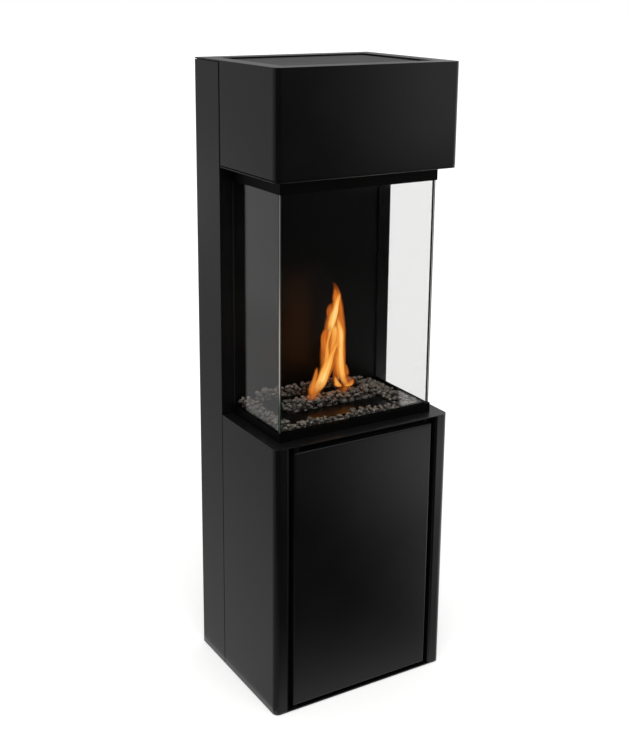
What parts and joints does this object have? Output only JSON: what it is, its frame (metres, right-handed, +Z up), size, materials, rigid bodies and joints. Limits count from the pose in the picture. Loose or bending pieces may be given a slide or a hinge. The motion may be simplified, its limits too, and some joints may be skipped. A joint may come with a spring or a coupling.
{
  "type": "bioethanol fireplace",
  "caption": "Tall free-standing bioethanol fireplace: rear column, hood over a fire behind glass on three sides, stone bed, cabinet with flush push-open door.",
  "frame": {"origin": "on the floor, under the centre of the footprint", "axes": "+Z up, -Y out of the door's face, +X to the right seen from the front"},
  "size_m": [0.5, 0.4, 1.58],
  "materials": {
    "black_powder_coat": "satin black powder coat",
    "clear_glass": "clear toughened glass, polished edges",
    "tank_steel": "brushed stainless steel",
    "zinc_steel": "zinc-plated steel",
    "ceramic_wool": "white ceramic wool",
    "insulation_board": "mineral insulation board",
    "black_rubber": "matt black rubber",
    "latch_plastic": "grey moulded plastic",
    "pivot_plastic": "black moulded plastic",
    "dark_stone": "dark grey-brown pebbles"
  },
  "bodies": {
    "root": {"base_plate": "black_powder_coat", "floor_pads": "black_rubber", "column_left_side": "black_powder_coat", "column_right_side": "black_powder_coat", "rear_cover": "black_powder_coat", "rear_cover_screws": "zinc_steel", "rear_top_rail": "black_powder_coat", "column_lower_shelf": "black_powder_coat", "column_upper_shelf": "black_powder_coat", "firebox_back_wall": "black_powder_coat", "back_wall_insulation": "insulation_board", "wall_fixing_rail": "black_powder_coat", "cabinet_left_side": "black_powder_coat", "cabinet_right_side": "black_powder_coat", "cabinet_back_panel": "black_powder_coat", "cabinet_top_plate": "black_powder_coat", "cabinet_brackets": "black_powder_coat", "door_stop_frame": "black_powder_coat", "door_bumpers": "black_rubber", "fuel_shelf": "black_powder_coat", "shelf_lugs": "black_powder_coat", "pivot_bush_bottom": "pivot_plastic", "pivot_bush_top": "pivot_plastic", "latch_bracket": "black_powder_coat", "latch_body": "latch_plastic", "latch_spring": "zinc_steel", "latch_screws": "zinc_steel", "lower_glass_frame": "black_powder_coat", "upper_glass_frame": "black_powder_coat", "glass_left": "clear_glass", "glass_right": "clear_glass", "glass_seat_blocks": "black_rubber", "glass_rear_seals": "black_rubber", "stone_tray": "black_powder_coat", "burner_top_plate": "black_powder_coat", "burner_tank": "tank_steel", "ceramic_wool": "ceramic_wool", "wool_mesh": "tank_steel", "burner_stones": "dark_stone", "tray_stones_front": "dark_stone", "tray_stones_left": "dark_stone", "tray_stones_right": "dark_stone", "tray_stones_back": "dark_stone", "hood_bottom_ring": "black_powder_coat", "hood_shell": "black_powder_coat", "hood_brackets": "black_powder_coat", "top_frame": "black_powder_coat", "deflector_panel": "black_powder_coat", "deflector_tabs": "black_powder_coat"},
    "door": {"door_skin": "black_powder_coat", "door_back_panel": "black_powder_coat", "door_pivot_bottom": "zinc_steel", "door_pivot_top": "zinc_steel", "strike_plate": "zinc_steel", "strike_screws": "zinc_steel"},
    "latch_plunger": {"latch_plunger": "latch_plastic"},
    "front_pane": {"glass_front": "clear_glass"}
  },
  "joints": [
    {"name": "door_pivot", "type": "hinge", "parent": "root", "child": "door", "pos_m": [-0.191, -0.191, 0.34925], "axis": [0, 0, -1], "range_deg": [0, 100]},
    {"name": "latch_press", "type": "slide", "parent": "root", "child": "latch_plunger", "axis": [0, 1, 0], "range_m": [0, 0.004], "stiffness_N_per_m": 300, "deforming": ["latch_spring"]},
    {"name": "front_pane_lift", "type": "slide", "parent": "root", "child": "front_pane", "axis": [0, 0, 1], "range_m": [0, 0.016]}
  ]
}
